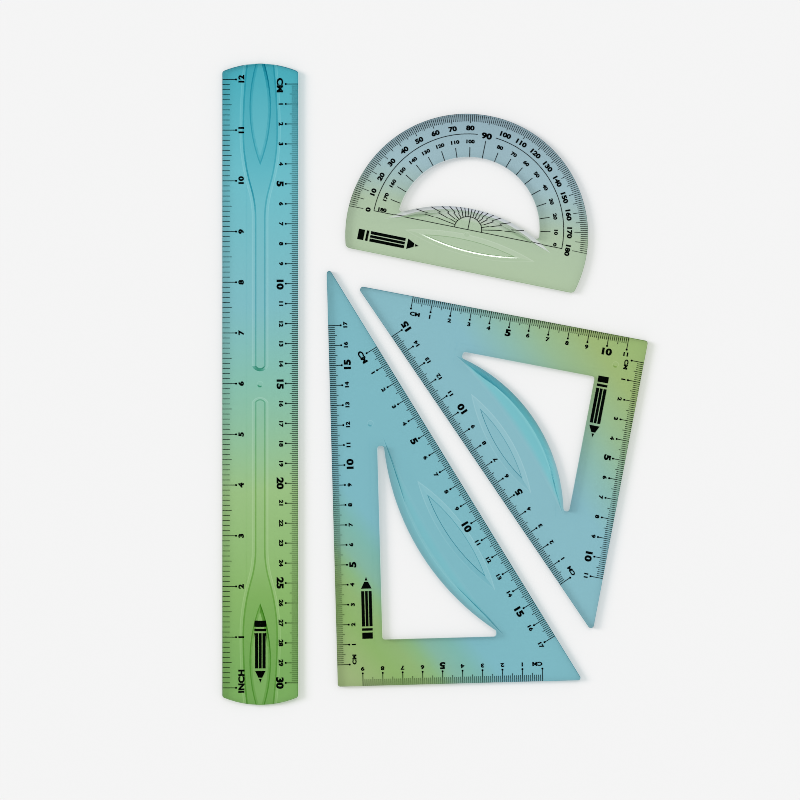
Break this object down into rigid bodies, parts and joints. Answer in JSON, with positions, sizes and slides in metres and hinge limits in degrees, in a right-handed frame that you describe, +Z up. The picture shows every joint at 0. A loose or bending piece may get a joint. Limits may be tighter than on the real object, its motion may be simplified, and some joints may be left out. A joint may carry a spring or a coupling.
{
  "type": "drawing instrument set",
  "caption": "Flexible translucent drawing set laid flat: straight ruler, protractor and two set squares with curved finger grips and printed scales.",
  "frame": {"origin": "bottom centre of the flat layout, on the table under its middle", "axes": "+Z up from the table, +Y along the ruler towards its 0 cm end, +X to the right towards the set squares and protractor"},
  "size_m": [0.2128, 0.321, 0.0036],
  "materials": {
    "ruler_plastic": "translucent flexible plastic shading from cyan through teal to green, satin gloss",
    "protractor_plastic": "clearer translucent plastic shading from blue grey to pale green, glossy",
    "set_square_plastic": "translucent flexible plastic, cyan shading to green at the right angle, satin gloss",
    "ink": "printed black ink film"
  },
  "bodies": {
    "ruler": {"ruler_body": "ruler_plastic", "ruler_centimetre_ticks": "ink", "ruler_inch_ticks": "ink"},
    "protractor": {"protractor_body": "protractor_plastic", "protractor_degree_ticks": "ink", "protractor_fan_rays": "ink", "protractor_inner_ticks": "ink", "protractor_lines": "ink"},
    "set_square_60": {"set_square_60_body": "set_square_plastic", "set_square_60_hypotenuse_ticks": "ink", "set_square_60_long_leg_ticks": "ink", "set_square_60_short_leg_ticks": "ink"},
    "set_square_45": {"set_square_45_body": "set_square_plastic", "set_square_45_hypotenuse_ticks": "ink", "set_square_45_long_leg_ticks": "ink", "set_square_45_short_leg_ticks": "ink"}
  },
  "joints": [
    {"name": "protractor_lift", "type": "slide", "parent": "ruler", "child": "protractor", "axis": [0, 0, 1], "range_m": [0, 0.06]},
    {"name": "set_square_60_lift", "type": "slide", "parent": "ruler", "child": "set_square_60", "axis": [0, 0, 1], "range_m": [0, 0.06]},
    {"name": "set_square_45_lift", "type": "slide", "parent": "ruler", "child": "set_square_45", "axis": [0, 0, 1], "range_m": [0, 0.06]}
  ]
}
